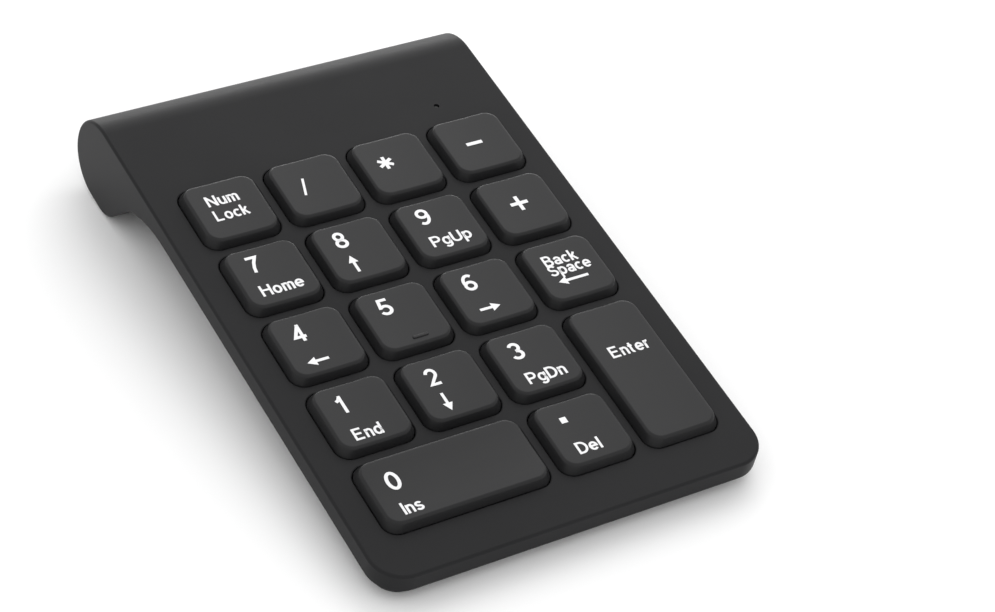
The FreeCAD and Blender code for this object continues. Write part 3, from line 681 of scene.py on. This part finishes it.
# What is printed on each key: text, then its left, baseline, width and height in mm from
# the cap's front left corner. An arrow gives its middle, length and direction instead.
digit = 4.3
word = 2.85
prints = {
    "num_lock": [("Num", 4.3, 9.7, 6.9, word), ("Lock", 4.2, 5.6, 7.4, word)],
    "divide": [("/", 5.0, 6.3, 1.9, 4.6)],
    "multiply": [("*", 4.3, 7.5, 3.4, 3.5)],
    "subtract": [("−", 5.7, 7.9, 3.7, 0.85)],
    "add": [("+", 5.8, 6.7, 4.0, 4.0)],
    "7": [("7", 4.7, 9.5, 2.7, digit), ("Home", 3.9, 3.2, 9.2, word)],
    "8": [("8", 4.6, 9.6, 2.8, digit), ("arrow", 5.8, 5.1, 4.5, 90)],
    "9": [("9", 4.6, 9.7, 2.8, digit), ("PgUp", 4.1, 3.5, 9.0, word)],
    "4": [("4", 4.3, 9.2, 2.9, digit), ("arrow", 6.4, 3.8, 4.6, 180)],
    "5": [("5", 4.6, 9.5, 2.8, digit)],
    "6": [("6", 4.6, 9.5, 2.8, digit), ("arrow", 6.8, 4.3, 4.6, 0)],
    "backspace": [("Back", 4.0, 9.8, 7.7, word), ("Space", 3.8, 7.1, 9.6, word),
                  ("arrow", 7.8, 5.4, 6.9, 180)],
    "1": [("1", 4.6, 9.1, 1.5, digit), ("End", 4.1, 2.3, 6.0, word)],
    "2": [("2", 4.6, 9.1, 2.8, digit), ("arrow", 5.8, 4.8, 4.5, -90)],
    "3": [("3", 4.5, 9.2, 2.8, digit), ("PgDn", 4.3, 2.8, 8.6, word)],
    "enter": [("Enter", 4.3, 21.8, 8.8, word)],
    "0": [("0", 4.5, 8.2, 2.9, digit), ("Ins", 4.4, 2.3, 4.2, word)],
    "decimal": [(".", 5.1, 10.9, 1.4, 1.4), ("Del", 4.6, 3.0, 5.2, word)],
}
for key, marks in prints.items():
    low, high = cap_boxes[key]
    legend = bmesh.new()
    for text, left, bottom, width, height in marks:
        if text == "arrow":
            mark = arrow(width, 0.62, 2.1, 1.9)
            place = Matrix.Translation((left, bottom, 0)) @ Matrix.Rotation(math.radians(height), 4, "Z")
            mark.transform(place @ Matrix.Translation((-width / 2, 0, 0)))
        else:
            mark = fit(lettering(text), left, bottom, width, height, baseline=len(text) > 1)
        join_in(legend, mark)
    for vertex in legend.verts:
        x = low.x + vertex.co.x
        y = low.y + vertex.co.y
        depth = ink_height if vertex.co.z > 0 else -0.05
        vertex.co = (x, y, cap_height - dish_drop(key, x, y) + depth)
    piece("legend_" + key, at_table(legend), "key_" + key, ink.material)


# ---- Guide plate, domes and membrane --------------------------------------------------
# Under the deck: a black guide plate with a sleeve for each stem, milky silicone domes,
# and three clear sheets whose silver tracks run to the tail.
plate = moulded("guide_plate_abs", (0.010, 0.010, 0.010), (0.014, 0.014, 0.014), 0.5, 2400.0, 0.00003)
finished("guide_plate", plate)

silicone = Finish("silicone")
milk = silicone.noise(400.0, 2.0)
silicone.set({
    "Base Color": silicone.between(milk, (0.58, 0.58, 0.55), (0.72, 0.72, 0.70)),
    "Roughness": 0.45 + milk * 0.15,
    "Subsurface Weight": 0.3,
    "Subsurface Radius": (0.001, 0.001, 0.001),
})

# Each dome keeps the CAD's shape, with its triangles merged, and rides on the case.
for key in keys:
    dome = "dome_" + key
    cup = piece("cup_" + key, merged(dome), "case", silicone.material, [dome])
    low, high = deck_box(dome)
    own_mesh(cup)

film = Finish("printed_film")
lanes = film.node("ShaderNodeTexWave", {"wave_type": "BANDS", "bands_direction": "X"},
                  {"Vector": film.place, "Scale": 160.0, "Distortion": 1.5, "Detail": 1.0})
track = lanes.step(0.82, 0.9)
film.set({
    "Base Color": film.between(track, (0.50, 0.56, 0.58), (0.62, 0.62, 0.60)),
    "Metallic": track * 0.8,
    "Roughness": 0.22 + track * 0.25,
})
for layer in ("upper", "spacer", "lower"):
    finished("membrane_" + layer, film.material)


# ---- Stabilisers, contacts and screws -------------------------------------------------
# Bent spring wire under the two long keys, nickel-plated spring steel at the cell's
# ends, and zinc-plated screws.
def plated(name, colour, lighter, roughness, scale):
    finish = Finish(name)
    drawn = finish.node("ShaderNodeMapping", None, {"Vector": finish.place, "Scale": (1.0, 6.0, 6.0)})
    marks = finish.node("ShaderNodeTexNoise", None, {"Vector": drawn, "Scale": scale, "Detail": 3.0})
    finish.set({
        "Base Color": finish.between(marks, colour, lighter),
        "Metallic": 1.0,
        "Roughness": roughness + marks * 0.15,
        "Normal": finish.bump(marks, 0.000006),
    })
    return finish.material


spring_steel = plated("spring_steel", (0.42, 0.42, 0.43), (0.60, 0.60, 0.61), 0.25, 500.0)
nickel = plated("nickel_plate", (0.58, 0.56, 0.52), (0.74, 0.72, 0.68), 0.18, 400.0)
zinc = plated("zinc_plate", (0.40, 0.41, 0.43), (0.62, 0.63, 0.66), 0.30, 900.0)
for node in ("stabiliser_wire_0", "stabiliser_wire_enter"):
    finished(node, spring_steel)
for node in ("negative_spring_contact", "positive_contact", "crystal"):
    finished(node, nickel)
for node in ("case_screws", "board_screws"):
    finished(node, zinc)


# ---- Board, chip, leads and cell ------------------------------------------------------
# The radio board lies behind the keys. Two leads join it to the single cell, which wears
# a printed sleeve with a plain coloured band at its positive end.
mask = Finish("solder_mask")
routes = mask.node("ShaderNodeTexBrick", None,
                   {"Vector": mask.place, "Scale": 260.0, "Mortar Size": 0.06, "Color1": (0, 0, 0, 1),
                    "Color2": (0.15, 0.15, 0.15, 1), "Mortar": (1, 1, 1, 1)}, out="Fac")
mask.set({
    "Base Color": mask.between(routes, (0.010, 0.085, 0.030), (0.020, 0.150, 0.055)),
    "Roughness": 0.28 + routes * 0.12,
    "Coat Weight": 0.3,
    "Normal": mask.bump(routes, 0.00003),
})
finished("circuit_board", mask.material)
chip = moulded("chip_epoxy", (0.012, 0.012, 0.012), (0.020, 0.020, 0.020), 0.55, 6000.0, 0.00001)
finished("controller_chip", chip)

pvc = Finish("lead_insulation")
across = pvc.node("ShaderNodeSeparateXYZ", None, {0: pvc.place}, out="X")
pvc.set({
    "Base Color": pvc.between(across.step(-0.001, 0.001), (0.012, 0.012, 0.012), (0.45, 0.012, 0.010)),
    "Roughness": 0.32 + pvc.noise(1500.0) * 0.12,
})
finished("battery_leads", pvc.material)

sleeve = Finish("cell_sleeve")
along = sleeve.node("ShaderNodeSeparateXYZ", None, {0: sleeve.place}, out="X")
band = along.step(0.0118, 0.0120)
tip = along.step(0.0243, 0.0247)
wrap = sleeve.between(band, (0.014, 0.014, 0.016), (0.55, 0.24, 0.05))
sleeve.set({
    "Base Color": sleeve.node("ShaderNodeMix", {"data_type": "RGBA"},
                              {"Factor": tip, 6: wrap, 7: (0.66, 0.65, 0.62, 1)}, out=2),
    "Metallic": tip,
    "Roughness": 0.24 + sleeve.noise(600.0, 3.0) * 0.12,
})
finished("battery_cell", sleeve.material)


# ---- Power switch ---------------------------------------------------------------------
# A small slide switch behind the keys. Its ribbed knob sits in a slot in the underside.
nylon = moulded("switch_nylon", (0.030, 0.030, 0.031), (0.040, 0.040, 0.041), 0.45, 3500.0, 0.00002)
finished("power_switch_body", nylon)
finished("power_switch_slider", nylon)
